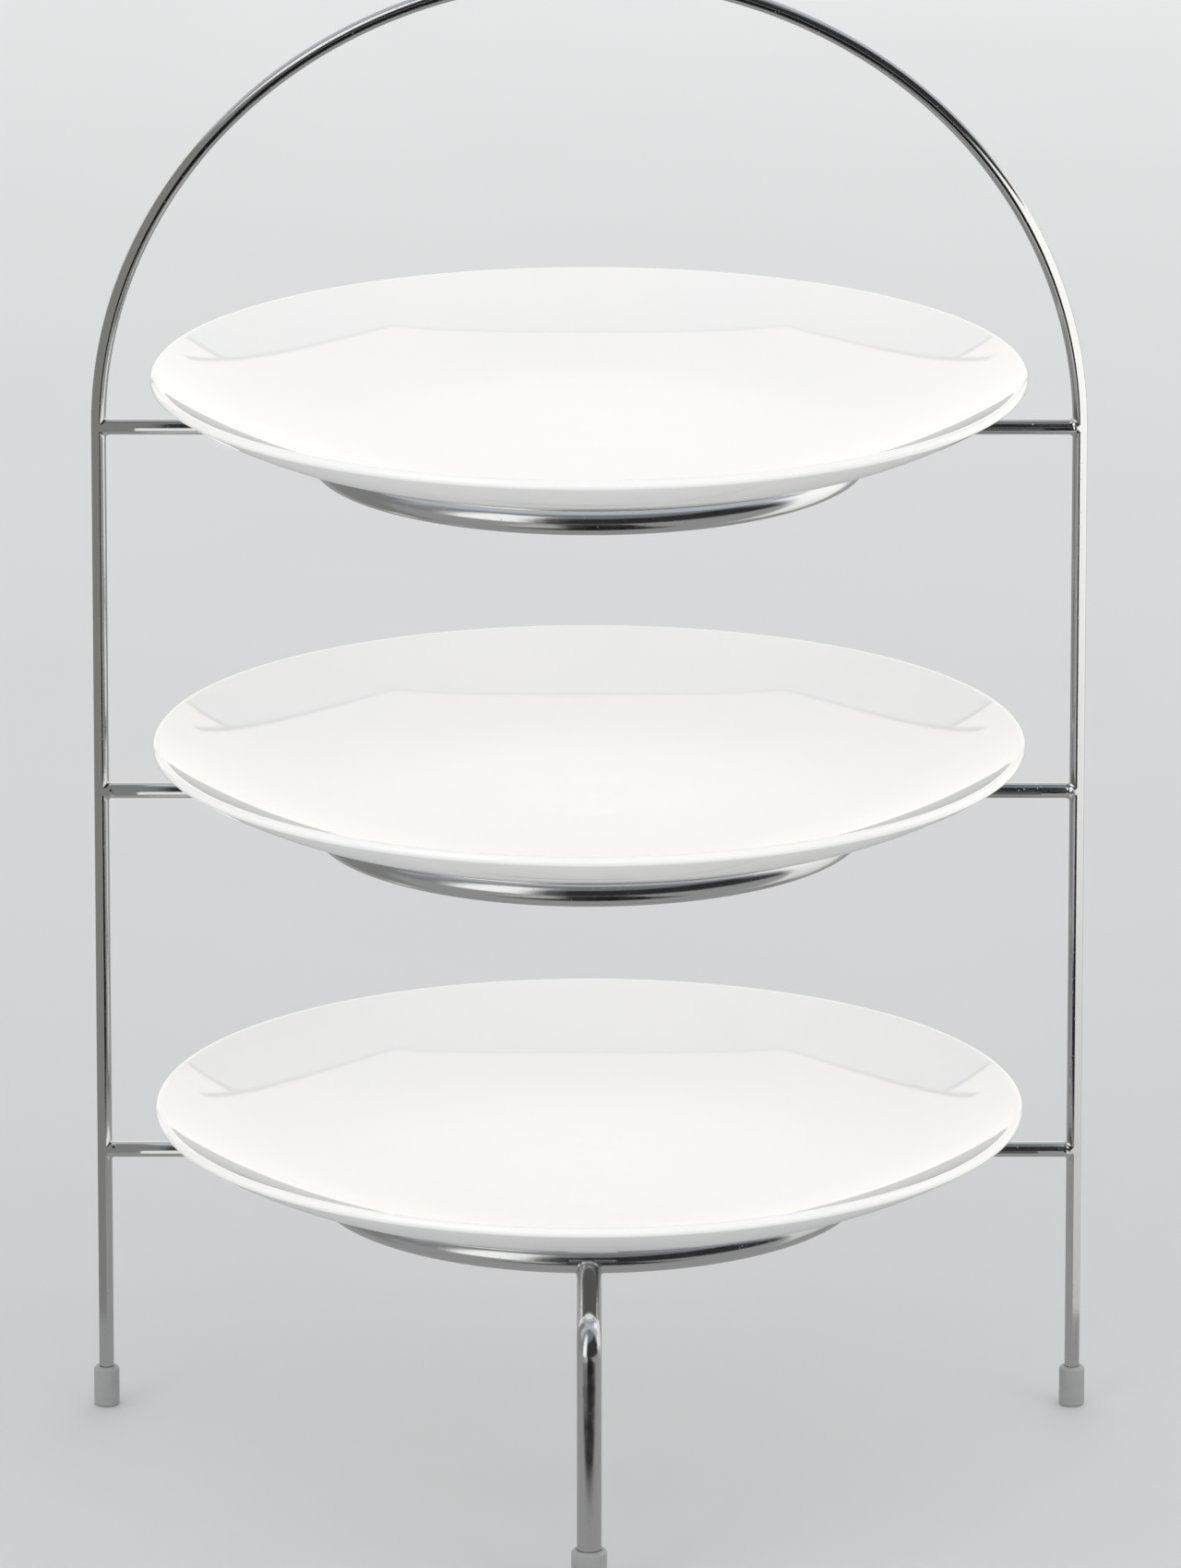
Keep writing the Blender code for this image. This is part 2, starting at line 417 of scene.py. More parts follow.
def spin_round(shape: BMesh, centre: Vector, steps: int) -> None:
    """Spins an outline once round the vertical line through centre and closes the surface.

    Args:
        shape: A mesh of the outline's points and edges only.
        centre: A point of the line.
        steps: Steps in the full turn.
    """
    bmesh.ops.spin(shape, geom=shape.verts[:] + shape.edges[:], cent=centre, axis=UP,
                   angle=math.tau, steps=steps, use_merge=True)
    bmesh.ops.remove_doubles(shape, verts=shape.verts, dist=MERGE_DISTANCE)
    bmesh.ops.recalc_face_normals(shape, faces=shape.faces)


def turn_profile(profile: Profile, centre: Vector, steps: int) -> BMesh:
    """Turns a profile of (radius, height) points, as on a lathe.

    Args:
        profile: Points from the axis back to the axis.
        centre: The point that heights and radii are counted from.
        steps: Steps in the full turn.

    Returns:
        A closed mesh.
    """
    shape = bmesh.new()
    corners = [shape.verts.new(centre + Vector((radius, 0.0, height))) for radius, height in profile]
    for pair in zip(corners, corners[1:]):
        shape.edges.new(pair)
    spin_round(shape, centre, steps)
    return shape


def arc(centre: Pair, radius: float, start: float, end: float, steps: int) -> Profile:
    """Points of a circle in a profile's plane.

    Args:
        centre: The circle's centre.
        radius: Its radius.
        start: First angle in degrees, 0 pointing outwards and 90 up.
        end: Last angle in degrees.
        steps: Steps from first to last.

    Returns:
        The points, both ends included.
    """
    angles = [math.radians(start + (end - start) * step / steps) for step in range(steps + 1)]
    return [(centre[0] + radius * math.cos(a), centre[1] + radius * math.sin(a)) for a in angles]


def add_object(name: str, data: bpy.types.ID) -> Object:
    """Makes an object of a mesh, light or camera and puts it in the scene."""
    item = bpy.data.objects.new(name, data)
    bpy.context.scene.collection.objects.link(item)
    return item


def finish_piece(name: str, shape: BMesh, materials: list[Material],
                 body: str, stands_for: tuple[str, ...] = ()) -> Object:
    """Makes a shown piece of a mesh: smooth, dressed, on its body, and in place of its nodes.

    Args:
        name: The piece's name.
        shape: The mesh, which is used up.
        materials: Its materials in slot order.
        body: The body that it rides on.
        stands_for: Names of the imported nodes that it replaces.

    Returns:
        The new object.
    """
    data = bpy.data.meshes.new(name)
    shape.to_mesh(data)
    shape.free()
    data.shade_smooth()
    data.set_sharp_from_angle(angle=SHARP_ANGLE)
    for material in materials:
        data.materials.append(material)
    piece = add_object(name, data)
    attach(piece, body)
    if stands_for:
        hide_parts(*stands_for)
    LOG.info("%s: %d faces on %s", name, len(data.polygons), body)
    return piece


def finish_wire(node: str, shape: BMesh, steel: Material) -> None:
    """Makes a wire of the frame of a mesh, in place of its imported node."""
    finish_piece(node + "_bright", shape, [steel], FRAME_BODY, (node,))


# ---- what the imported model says


@dataclass(frozen=True)
class Layout:
    """Places and sizes of the stand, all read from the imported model's boxes."""

    wire_radius: float
    rod_radius: float
    arm_radius: float
    leg_x: float
    arch_y: float
    handle_top: float
    leg_foot: float
    ring_centre: Vector
    ring_radius: float
    ring_heights: dict[Tier, float]
    front_leg_y: float
    front_leg_level: float
    front_leg_foot: float

    @classmethod
    def read(cls) -> "Layout":
        arch_low, arch_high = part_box("arch_wire")
        leg_low, leg_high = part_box("front_leg")
        arm_low, arm_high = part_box("lower_right_arm")
        rings = {tier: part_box(f"{tier.value}_ring") for tier in Tier}
        low, high = rings[Tier.LOWER]
        wire = (arch_high.y - arch_low.y) / 2
        rod = (high.z - low.z) / 2
        return cls(
            wire_radius=wire, rod_radius=rod, arm_radius=(arm_high.z - arm_low.z) / 2,
            leg_x=arch_high.x - wire, arch_y=(arch_high.y + arch_low.y) / 2,
            handle_top=arch_high.z - wire, leg_foot=arch_low.z,
            ring_centre=Vector(((low.x + high.x) / 2, (low.y + high.y) / 2, 0.0)),
            ring_radius=(high.x - low.x) / 2 - rod,
            ring_heights={tier: (box[0].z + box[1].z) / 2 for tier, box in rings.items()},
            front_leg_y=leg_low.y + rod, front_leg_level=leg_high.z - rod, front_leg_foot=leg_low.z)

    def ring_middle(self, tier: Tier) -> Vector:
        """The middle of a ring."""
        return self.ring_centre + self.ring_heights[tier] * UP

    def arm_point(self, tier: Tier, side: Side, x: float) -> Vector:
        """The point of an arm's centre line that is at a distance x from the stand's middle plane."""
        return Vector((side.sign * x, self.arch_y, self.ring_heights[tier]))

    @property
    def setback(self) -> float:
        """How far the handle's plane is behind the rings' axis."""
        return self.arch_y - self.ring_centre.y


# ---- the wire frame


@dataclass
class ArchWire:
    """One long wire bent into the handle, with both side legs."""

    layout: Layout
    sides: int = 40
    bend_steps: int = 120

    def stations(self) -> list[Station]:
        """Sections up the left leg, over a half-ellipse, and down the right leg."""
        lay = self.layout
        spring = lay.ring_heights[Tier.UPPER]
        rise = lay.handle_top - spring
        found = [Station(Vector((-lay.leg_x, lay.arch_y, lay.leg_foot)), UP, lay.wire_radius)]
        for step in range(self.bend_steps + 1):
            angle = math.pi * (1 - step / self.bend_steps)
            place = Vector((lay.leg_x * math.cos(angle), lay.arch_y, spring + rise * math.sin(angle)))
            heading = Vector((lay.leg_x * math.sin(angle), 0.0, -rise * math.cos(angle)))
            found.append(Station(place, heading, lay.wire_radius))
        found.append(Station(Vector((lay.leg_x, lay.arch_y, lay.leg_foot)), -UP, lay.wire_radius))
        return found

    def build(self, finishes: Finishes) -> None:
        """Makes the wire in polished steel."""
        shape = sweep(self.stations(), Vector((0, 1, 0)), self.sides)
        finish_wire("arch_wire", shape, finishes.steel)


@dataclass
class SupportRing:
    """One ring of thick rod that carries a plate."""

    layout: Layout
    tier: Tier
    sides: int = 40
    steps: int = 240

    def build(self, finishes: Finishes) -> None:
        """Spins the rod's section round the rings' axis."""
        lay = self.layout
        centre = lay.ring_middle(self.tier)
        shape = bmesh.new()
        upright = Matrix.Translation(centre + Vector((lay.ring_radius, 0, 0))) @ Matrix.Rotation(math.pi / 2, 4, "X")
        bmesh.ops.create_circle(shape, radius=lay.rod_radius, segments=self.sides, matrix=upright)
        spin_round(shape, centre, self.steps)
        finish_wire(f"{self.tier.value}_ring", shape, finishes.rod_steel)


@dataclass
class SideArm:
    """A short straight wire from a ring out to a side leg, sunk into both so that the welds close."""

    layout: Layout
    tier: Tier
    side: Side
    sunk: float = 0.0012
    sides: int = 40

    def ends(self) -> tuple[Vector, Vector]:
        """The arm's inner and outer end on its centre line."""
        lay = self.layout
        chord = math.sqrt((lay.ring_radius + lay.rod_radius) ** 2 - lay.setback ** 2)
        inner = lay.arm_point(self.tier, self.side, chord - self.sunk)
        return inner, lay.arm_point(self.tier, self.side, lay.leg_x - lay.wire_radius + self.sunk)

    def build(self, finishes: Finishes) -> None:
        """Makes the arm in polished steel."""
        inner, outer = self.ends()
        heading = outer - inner
        radius = self.layout.arm_radius
        shape = sweep([Station(inner, heading, radius), Station(outer, heading, radius)],
                      Vector((0, 1, 0)), self.sides)
        finish_wire(f"{self.tier.value}_{self.side.value}_arm", shape, finishes.steel)


@dataclass
class FrontLeg:
    """The thick rod that leaves the lowest ring forwards and bends down to the front foot."""

    layout: Layout
    bend_radius: float = 0.008
    sunk: float = 0.0015
    sides: int = 48
    bend_steps: int = 20

    def stations(self) -> list[Station]:
        """Sections from inside the ring's rod, round the bend and down to the foot."""
        lay = self.layout
        level = lay.front_leg_level
        start = lay.ring_centre.y - lay.ring_radius - lay.rod_radius + self.sunk
        found = [Station(Vector((0, start, level)), Vector((0, -1, 0)), lay.rod_radius)]
        bend = Vector((0, lay.front_leg_y + self.bend_radius, level - self.bend_radius))
        for step in range(self.bend_steps + 1):
            angle = math.pi / 2 * step / self.bend_steps
            out = Vector((0, -math.sin(angle), math.cos(angle)))
            heading = Vector((0, -math.cos(angle), -math.sin(angle)))
            found.append(Station(bend + out * self.bend_radius, heading, lay.rod_radius))
        found.append(Station(Vector((0, lay.front_leg_y, lay.front_leg_foot)), -UP, lay.rod_radius))
        return found

    def build(self, finishes: Finishes) -> None:
        """Makes the leg in polished steel."""
        shape = sweep(self.stations(), Vector((1, 0, 0)), self.sides)
        finish_wire("front_leg", shape, finishes.rod_steel)


# ---- welds


@dataclass
class Weld:
    """A weld where two wires meet: short stubs of both, melted together in the crease.

    The stubs and a few beads are fused on a fine grid and then smoothed. Smoothing pulls the
    stubs a hair inside the wires and fills the crease, so only the fillet shows.
    """

    name: str
    beads: list[tuple[Vector, float]] = field(default_factory=list)
    grid: float = 0.00028
    rounds: int = 10
    smoothing: float = 0.5
    sides: int = 32
    ring_steps: int = 12
    shape: BMesh = field(default_factory=bmesh.new)

    def add_stub(self, start: Vector, end: Vector, radius: float) -> None:
        """Adds a straight stub of wire.

        Args:
            start: One end of its centre line.
            end: The other end.
            radius: The wire's radius.
        """
        along = end - start
        turn = along.to_track_quat("Z", "Y").to_matrix().to_4x4()
        place = Matrix.Translation((start + end) / 2) @ turn
        bmesh.ops.create_cone(self.shape, cap_ends=True, segments=self.sides, radius1=radius, radius2=radius,
                              depth=along.length, matrix=place)

    def add_ring_stub(self, layout: Layout, tier: Tier, middle: float, spread: float) -> None:
        """Adds a short stretch of a ring.

        Args:
            layout: The stand's layout.
            tier: Which ring.
            middle: Angle of the stretch's middle, in radians from +X.
            spread: Half the stretch's angle.
        """
        centre = layout.ring_middle(tier)
        start = (Matrix.Translation(centre) @ Matrix.Rotation(middle - spread, 4, "Z")
                 @ Matrix.Translation((layout.ring_radius, 0, 0)) @ Matrix.Rotation(math.pi / 2, 4, "X"))
        made = bmesh.ops.create_circle(self.shape, cap_ends=True, radius=layout.rod_radius,
                                       segments=self.sides, matrix=start)
        edges = list({edge for vert in made["verts"] for edge in vert.link_edges})
        swept = bmesh.ops.spin(self.shape, geom=edges, cent=centre, axis=UP,
                               angle=2 * spread, steps=self.ring_steps)
        last = [part for part in swept["geom_last"] if isinstance(part, BMEdge)]
        bmesh.ops.contextual_create(self.shape, geom=last)

    def build(self, steel: Material) -> None:
        """Adds the beads, fuses everything, smooths the crease and makes the piece.

        Args:
            steel: The wires' steel.
        """
        for place, radius in self.beads:
            bmesh.ops.create_icosphere(self.shape, subdivisions=2, radius=radius, matrix=Matrix.Translation(place))
        bmesh.ops.recalc_face_normals(self.shape, faces=self.shape.faces)
        rough = bpy.data.meshes.new(self.name + "_rough")
        self.shape.to_mesh(rough)
        self.shape.free()
        holder = add_object(self.name + "_rough", rough)
        remesh = holder.modifiers.new("fuse", "REMESH")
        remesh.mode = "VOXEL"
        remesh.voxel_size = self.grid
        fused = bpy.data.meshes.new_from_object(holder.evaluated_get(bpy.context.evaluated_depsgraph_get()))
        bpy.data.objects.remove(holder, do_unlink=True)
        melted = bmesh.new()
        melted.from_mesh(fused)
        bpy.data.meshes.remove(fused)
        bpy.data.meshes.remove(rough)
        for _ in range(self.rounds):
            bmesh.ops.smooth_vert(melted, verts=melted.verts, factor=self.smoothing, use_axis_x=True,
                                  use_axis_y=True, use_axis_z=True)
        finish_piece(self.name, melted, [steel], FRAME_BODY)


@dataclass
class Welds:
    """All thirteen welds of the frame."""

    layout: Layout
    bead_radius: float = 0.0009
    bead_count: int = 10
    bead_shift: float = 0.3
    bead_sizes: Pair = (0.75, 1.15)
    stub: float = 0.006
    leg_bead_circle: float = 0.78
    leg_bead_reach: float = 0.0003
    ring_bead_circle: float = 0.92
    ring_bead_reach: float = 0.0008
    ring_bead_offset: float = 0.001
    front_bead_circle: float = 0.97
    front_bead_reach: float = 0.0006
    front_bead_offset: float = 0.0012
    ring_arm_stub: float = 0.008
    ring_stub_share: float = 1.3
    front_stub: float = 0.008
    front_ring_stub: float = 0.011
    spatter: tuple[tuple[float, float, float], ...] = (
        (-0.0058, -0.0026, 0.0006), (-0.0070, -0.0021, 0.0005), (0.0062, -0.0027, 0.0006))

    def crease_beads(self, centre: Vector, along: Vector, radius: float, reach: float, seed: int) -> list:
        """Small uneven drops round the end of a wire.

        Args:
            centre: Where the wire's centre line meets the other wire's surface.
            along: Unit vector from the joint out along the wire.
            radius: The wire's radius.
            reach: Largest distance of a drop from the end, along the wire.
            seed: Makes each weld's drops differ, the same way in each run.

        Returns:
            Centres and radii.
        """
        dice = random.Random(seed)
        side = along.orthogonal().normalized()
        other = along.cross(side)
        drops = []
        for step in range(self.bead_count):
            angle = math.tau * (step + dice.uniform(-self.bead_shift, self.bead_shift)) / self.bead_count
            out = side * math.cos(angle) + other * math.sin(angle)
            size = self.bead_radius * dice.uniform(*self.bead_sizes)
            drops.append((centre + out * radius + along * dice.uniform(-reach, reach), size))
        return drops

    def arm_welds(self, tier: Tier, side: Side, seed: int, finishes: Finishes) -> None:
        """Makes the weld at each end of one side arm.

        Args:
            tier: The arm's tier.
            side: The arm's side.
            seed: Makes its drops differ from the other arms'.
            finishes: The stand's materials.
        """
        lay = self.layout
        arm = SideArm(lay, tier, side)
        inner = arm.ends()[0]
        outwards = Vector((side.sign, 0, 0))
        leg = lay.arm_point(tier, side, lay.leg_x)
        name = f"{tier.value}_{side.value}"

        joint = leg - outwards * lay.wire_radius
        at_leg = Weld(name + "_leg_weld", self.crease_beads(
            joint, -outwards, lay.arm_radius * self.leg_bead_circle, self.leg_bead_reach, seed))
        at_leg.add_stub(leg - self.stub * UP, leg + self.stub * UP, lay.wire_radius)
        at_leg.add_stub(leg, joint - outwards * self.stub, lay.arm_radius)
        at_leg.build(finishes.steel)

        bearing = math.atan2(lay.setback, side.sign * math.sqrt(lay.ring_radius ** 2 - lay.setback ** 2))
        joint = inner - outwards * arm.sunk
        at_ring = Weld(name + "_ring_weld", self.crease_beads(
            joint + outwards * self.ring_bead_offset, outwards, lay.arm_radius * self.ring_bead_circle,
            self.ring_bead_reach, seed + 50))
        at_ring.add_ring_stub(lay, tier, bearing, self.stub * self.ring_stub_share / lay.ring_radius)
        at_ring.add_stub(joint - outwards * lay.rod_radius, inner + outwards * self.ring_arm_stub, lay.arm_radius)
        at_ring.build(finishes.rod_steel)

    def front_weld(self, finishes: Finishes) -> None:
        """The weld between the front leg and the lowest ring, with a little spatter beside it."""
        lay = self.layout
        level = lay.ring_heights[Tier.LOWER]
        face = lay.ring_centre.y - lay.ring_radius - lay.rod_radius
        joint = Vector((0, face, lay.front_leg_level))
        drops = self.crease_beads(joint + Vector((0, self.front_bead_offset, 0)), Vector((0, -1, 0)),
                                  lay.rod_radius * self.front_bead_circle, self.front_bead_reach, 7)
        for x, drop, size in self.spatter:
            lean = math.asin(-drop / lay.rod_radius)
            y = lay.ring_centre.y - lay.ring_radius - lay.rod_radius * math.cos(lean) + x * x / (2 * lay.ring_radius)
            drops.append((Vector((x, y, level + drop)), size))
        weld = Weld("front_leg_weld", drops, grid=0.0003, rounds=9)
        weld.add_ring_stub(lay, Tier.LOWER, -math.pi / 2, self.front_ring_stub / lay.ring_radius)
        weld.add_stub(joint + Vector((0, lay.rod_radius, 0)), joint - Vector((0, self.front_stub, 0)), lay.rod_radius)
        weld.build(finishes.rod_steel)

    def build(self, finishes: Finishes) -> None:
        """Makes every weld."""
        for number, tier in enumerate(Tier):
            for side in Side:
                self.arm_welds(tier, side, 10 * number + (1 if side is Side.LEFT else 2), finishes)
        self.front_weld(finishes)


# ---- foot caps


@dataclass
class FootCap:
    """A soft push-on cap: a sleeve with a round shoulder, a blind socket and a round heel."""

    node: str
    leg_radius: float
    shoulder: float = 0.0013
    heel: float = 0.0008
    floor: float = 0.0025
    mouth_edge: float = 0.00015
    socket_play: float = 0.00005
    shoulder_steps: int = 10
    heel_steps: int = 8
    steps: int = 72

    def profile(self, radius: float, height: float) -> Profile:
        """The cap's outline.

        Args:
            radius: Outside radius.
            height: Overall height.

        Returns:
            Points from the socket's bottom, over the shoulder and down to the underside's middle.
        """
        socket = self.leg_radius + self.socket_play
        shoulder = min(self.shoulder, radius - socket - self.mouth_edge)
        points = [(0.0, self.floor), (socket, self.floor), (socket, height - self.mouth_edge)]
        points += arc((radius - shoulder, height - shoulder), shoulder, 90, 0, self.shoulder_steps)
        points += arc((radius - self.heel, self.heel), self.heel, 0, -90, self.heel_steps)
        points.append((0.0, 0.0))
        return points

    def build(self, finishes: Finishes) -> None:
        """Turns the cap in milky plastic."""
        low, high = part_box(self.node)
        centre = Vector(((low.x + high.x) / 2, (low.y + high.y) / 2, low.z))
        shape = turn_profile(self.profile((high.x - low.x) / 2, high.z - low.z), centre, self.steps)
        finish_piece(self.node + "_moulded", shape, [finishes.cap], FRAME_BODY, (self.node,))


# ---- plates


@dataclass
class CoupePlate:
    """A porcelain coupe plate: flat middle, one sweep up to a round rim, and a foot ring.

    Jiggering leaves very low rings round the middle of the well, which show only as faint
    bends in what the glaze mirrors.
    """

    layout: Layout
    tier: Tier
    flat_radius: float = 0.061
    bowl_radius: float = 0.137
    floor_thickness: float = 0.005
    rim_thickness: float = 0.0032
    foot_width: float = 0.004
    foot_play: float = 0.005
    foot_height: float = 0.003
    foot_round: float = 0.0009
    rest_gap: float = 0.0003
    ripple_height: float = 0.00008
    ripple_pitch: float = 0.019
    ripple_fade: float = 0.030
    bare_share: float = 0.35
    well_steps: int = 30
    inside_steps: int = 40
    lip_steps: int = 20
    outside_steps: int = 36
    foot_steps: int = 6
    steps: int = 288

    def well(self, floor: float) -> Profile:
        """The flat middle with its low rings, from the axis to the start of the sweep."""
        points = []
        for step in range(self.well_steps + 1):
            radius = self.flat_radius * step / self.well_steps
            ripple = math.cos(math.tau * radius / self.ripple_pitch) * math.exp(-(radius / self.ripple_fade) ** 2)
            points.append((radius, floor - self.ripple_height * (1 - ripple)))
        points[-1] = (self.flat_radius, floor - self.ripple_height)
        return points

    def profile(self, radius: float) -> tuple[Profile, float]:
        """The plate's outline above the plane of its ring.

        Args:
            radius: The plate's outside radius.

        Returns:
            The points, and the height under which the foot is bare.
        """
        lay = self.layout
        touching = self.bowl_radius + lay.rod_radius + self.rest_gap
        top = math.sqrt(touching ** 2 - (lay.ring_radius - self.flat_radius) ** 2)
        underside = top - self.bowl_radius
        floor = underside + self.floor_thickness

        lip_radius = self.rim_thickness / 2
        reach = radius - lip_radius - self.flat_radius
        lip_height = top - math.sqrt((self.bowl_radius - lip_radius) ** 2 - reach ** 2)
        slope = math.degrees(math.asin(reach / (self.bowl_radius - lip_radius)))
        lip = arc((radius - lip_radius, lip_height), lip_radius, 90 + slope, slope - 90, self.lip_steps)

        run = lip[0][0] - self.flat_radius
        rise = lip[0][1] - floor
        inner = (run ** 2 + rise ** 2) / (2 * rise)
        inside = arc((self.flat_radius, floor - self.ripple_height + inner), inner, -90,
                     math.degrees(math.asin(run / inner)) - 90, self.inside_steps)

        foot_out = lay.ring_radius - lay.rod_radius - self.foot_play
        foot_in = foot_out - self.foot_width
        bottom = underside - self.foot_height
        foot_slope = math.degrees(math.asin((foot_out - self.flat_radius) / self.bowl_radius))
        outside = arc((self.flat_radius, top), self.bowl_radius, slope - 90, foot_slope - 90, self.outside_steps)
        heel = self.foot_round
        points = self.well(floor) + inside[1:-1] + lip + outside[1:]
        points += arc((foot_out - heel, bottom + heel), heel, 0, -90, self.foot_steps)
        points += arc((foot_in + heel, bottom + heel), heel, -90, -180, self.foot_steps)
        points += arc((foot_in - heel, underside - heel), heel, 0, 90, self.foot_steps)
        points.append((0.0, underside))
        return points, bottom + heel * self.bare_share

    def build(self, finishes: Finishes) -> None:
        """Turns the plate in glazed porcelain, with a bare face under its foot ring."""
        node = f"{self.tier.value}_plate"
        low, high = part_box(node)
        centre = self.layout.ring_middle(self.tier)
        points, bare_below = self.profile((high.x - low.x) / 2)
        shape = turn_profile(points, centre, self.steps)
        for face in shape.faces:
            face.material_index = int(face.calc_center_median().z < centre.z + bare_below)
        plate = finish_piece(node + "_glazed", shape, [finishes.porcelain, finishes.bare_foot], f"{node}_body",
                             (node,))
        plate.visible_glossy = False


# ---- studio


@dataclass(frozen=True)
class PaleFloor:
    """Matt pale studio paper, with the slightest mottling."""

    name: str = "studio_paper"
    pale: str = "D2D4D5"
    dark: str = "CED0D1"
    mottle_mm: float = 1000 / 6
    roughness: float = 0.9

    def build(self) -> Material:
        """Makes the material and returns it."""
        surface = Surface(self.name)
        shade = surface.mix(self.pale, self.dark, surface.noise(self.mottle_mm, 2.0))
        return surface.finish({"Base Color": shade, "Roughness": self.roughness})


@dataclass(frozen=True)
class Glow:
    """The even light of one part of the studio."""

    colour: str
    strength: float = 1.0


@dataclass(frozen=True)
class Patch:
    """A part of the room that polished things mirror, by direction in degrees.

    Bearing 0 is the front and 90 the right. Soft is half the width of its blurred border.
    """

    glow: Glow
    bearing: float
    half_width: float
    low: float
    high: float
    soft_side: float = 6.0
    soft_edge: float = 4.0


WARM_WALL = Glow("FFFCF6", 1.25)
COOL_CEILING = Glow("D3DCE6", 1.05)
SEAM = Glow("6A6E72")

BACKDROP_COLOUR = "D9D9D8"
MATT_BASE = Glow("C4C4C4", 1.2)
MATT_ROOM = (Patch(Glow("FFFFFF", 1.25), 0, 200, 0, 40, 1, 6),)
MIRRORED_BASE = Glow("8E9194")

MIRRORED_ROOM = (
    Patch(Glow("989A9C"), -95, 40, -90, 60, 10),
    Patch(Glow("303132"), 32, 56, -90, 50),
    Patch(Glow("FFFFFF", 1.5), -42, 17, -20, 62, 6, 8),
    Patch(Glow("FFFFFF", 1.3), 110, 20, -50, 28, 6, 6),
    Patch(WARM_WALL, 180, 62, -90, 24.9, 12, 0.4),
    Patch(COOL_CEILING, 180, 95, 25.0, 120, 14, 0.4),
    Patch(SEAM, 180, 80, 24.9, 25.7, 6, 0.3),
    Patch(SEAM, 180, 17.0, 20, 47.6, 0.5, 0.4),
    Patch(WARM_WALL, 180, 16.2, 10, 46.8, 0.4, 0.4),
)


@dataclass(frozen=True)
class SoftBox:
    """An area light that is aimed at the stand."""

    name: str
    width: float
    place: tuple[float, float, float]
    watts: float
    colour: str = "FFFFFF"
    height: float = 0.9
    aim: tuple[float, float, float] = (0.0, 0.0, 0.2)


@dataclass(frozen=True)
class FloorCard:
    """A flat reflection card with the X and Y of its corners."""

    name: str
    glow: Glow
    corners: tuple[Pair, ...]
    height: float = 0.0008


SOFT_BOXES = (
    SoftBox("left_box", 1.6, (-2.2, -2.6, 1.15), 17.0),
    SoftBox("right_box", 1.6, (2.5, -2.2, 1.25), 15.0),
    SoftBox("back_box", 2.2, (0.3, 3.2, 1.1), 19.0, "FFFDFA"),
)

# The table's painted reflection: an even grey glow that glossy rays see instead of the lit floor.
TABLE_GLOW = Glow("AEAFB0")
TABLE_HEIGHT = 0.0004

# Glowing floor cards before the stand, seen only in reflections: a near-black card paints dark reflections into the
# legs and rings, and a pale one beside it paints lighter reflections.
FLOOR_CARDS = (
    FloorCard("front_dark_reflection_card", Glow("1E1E1E"), ((-0.22, -0.245), (0.22, -0.245), (0.20, -0.39), (0.54, -1.7),
                                           (1.1, -5.5), (-1.1, -5.5), (-0.39, -1.7), (-0.10, -0.39))),
    FloorCard("beside_card", Glow("D8D8D8"), ((-0.30, -0.39), (-0.08, -0.39), (-0.33, -1.7), (-0.70, -1.7))),
)

# Painted reflections along the arms: a white card paints a highlight streak on each left arm, and a grey card paints
# a darker streak on each right arm.
ARM_CARD_GLOWS = {Side.LEFT: Glow("FFFFFF", 1.2), Side.RIGHT: Glow("6A6A6A")}
ARM_CARD_DROP = 0.006
ARM_CARD_FROM_LEG = (0.011, 0.042)
ARM_CARD_BEFORE_ARM = (0.03, 0.006)
SHADE_CORNERS = ((-0.006, -0.125), (0.008, -0.125), (0.008, -0.079), (-0.006, -0.079))
SHADE_HEIGHT = 0.0012
COVER_HEIGHT = 0.0003
COVER_WIDTH = 1.1
LEG_CARD_RADIUS = 0.095
BENT_SHEET_STEPS = 24


class RoomPaint:
    """Paints a room by direction in a world's node tree."""

    def __init__(self, tree: NodeTree) -> None:
        """Works out each ray's elevation and bearing in degrees.

        Args:
            tree: The world's node tree.
        """
        self.tree = tree
        toward = add_node(tree, "ShaderNodeTexCoord").outputs["Generated"]
        parts = add_node(tree, "ShaderNodeSeparateXYZ", {"Vector": toward})
        forward = self.maths("MULTIPLY", parts.outputs["Y"], -1.0)
        self.rise = self.maths("DEGREES", self.maths("ARCSINE", parts.outputs["Z"]))
        self.bearing = self.maths("DEGREES", self.maths("ARCTAN2", parts.outputs["X"], forward))

    def maths(self, operation: str, *values: object) -> NodeSocket:
        """A math node's output.

        Args:
            operation: The node's operation.
            values: Numbers or sockets, in order.
        """
        return add_node(self.tree, "ShaderNodeMath", {"operation": operation, **dict(enumerate(values))}).outputs[0]

    def step_up(self, value: NodeSocket, middle: float, soft: float) -> NodeSocket:
        """0 well below the middle, 1 well above it, and smooth over twice soft between."""
        return map_range(self.tree, value, (middle - soft, middle + soft), (0.0, 1.0),
                         interpolation_type="SMOOTHSTEP")

    def mask(self, patch: Patch) -> NodeSocket:
        """1 inside a patch and 0 outside it."""
        turned = self.maths("WRAP", self.maths("SUBTRACT", self.bearing, patch.bearing), 180.0, -180.0)
        beyond = self.step_up(self.maths("ABSOLUTE", turned), patch.half_width, patch.soft_side)
        below = self.step_up(self.rise, patch.high, patch.soft_edge)
        within = self.maths("MULTIPLY", self.maths("SUBTRACT", 1.0, beyond), self.maths("SUBTRACT", 1.0, below))
        return self.maths("MULTIPLY", within, self.step_up(self.rise, patch.low, patch.soft_edge))

    def paint(self, base: Glow, patches: tuple[Patch, ...]) -> NodeSocket:
        """Lays patches over a base, later ones on top.

        Args:
            base: The light where no patch is.
            patches: The patches in order.

        Returns:
            The colour's socket.
        """
        colour = srgb(base.colour, base.strength)
        for patch in patches:
            colour = add_node(self.tree, "ShaderNodeMix", {
                "data_type": "RGBA", "clamp_factor": True, 0: self.mask(patch), 6: colour,
                7: srgb(patch.glow.colour, patch.glow.strength)}).outputs[2]
        return colour


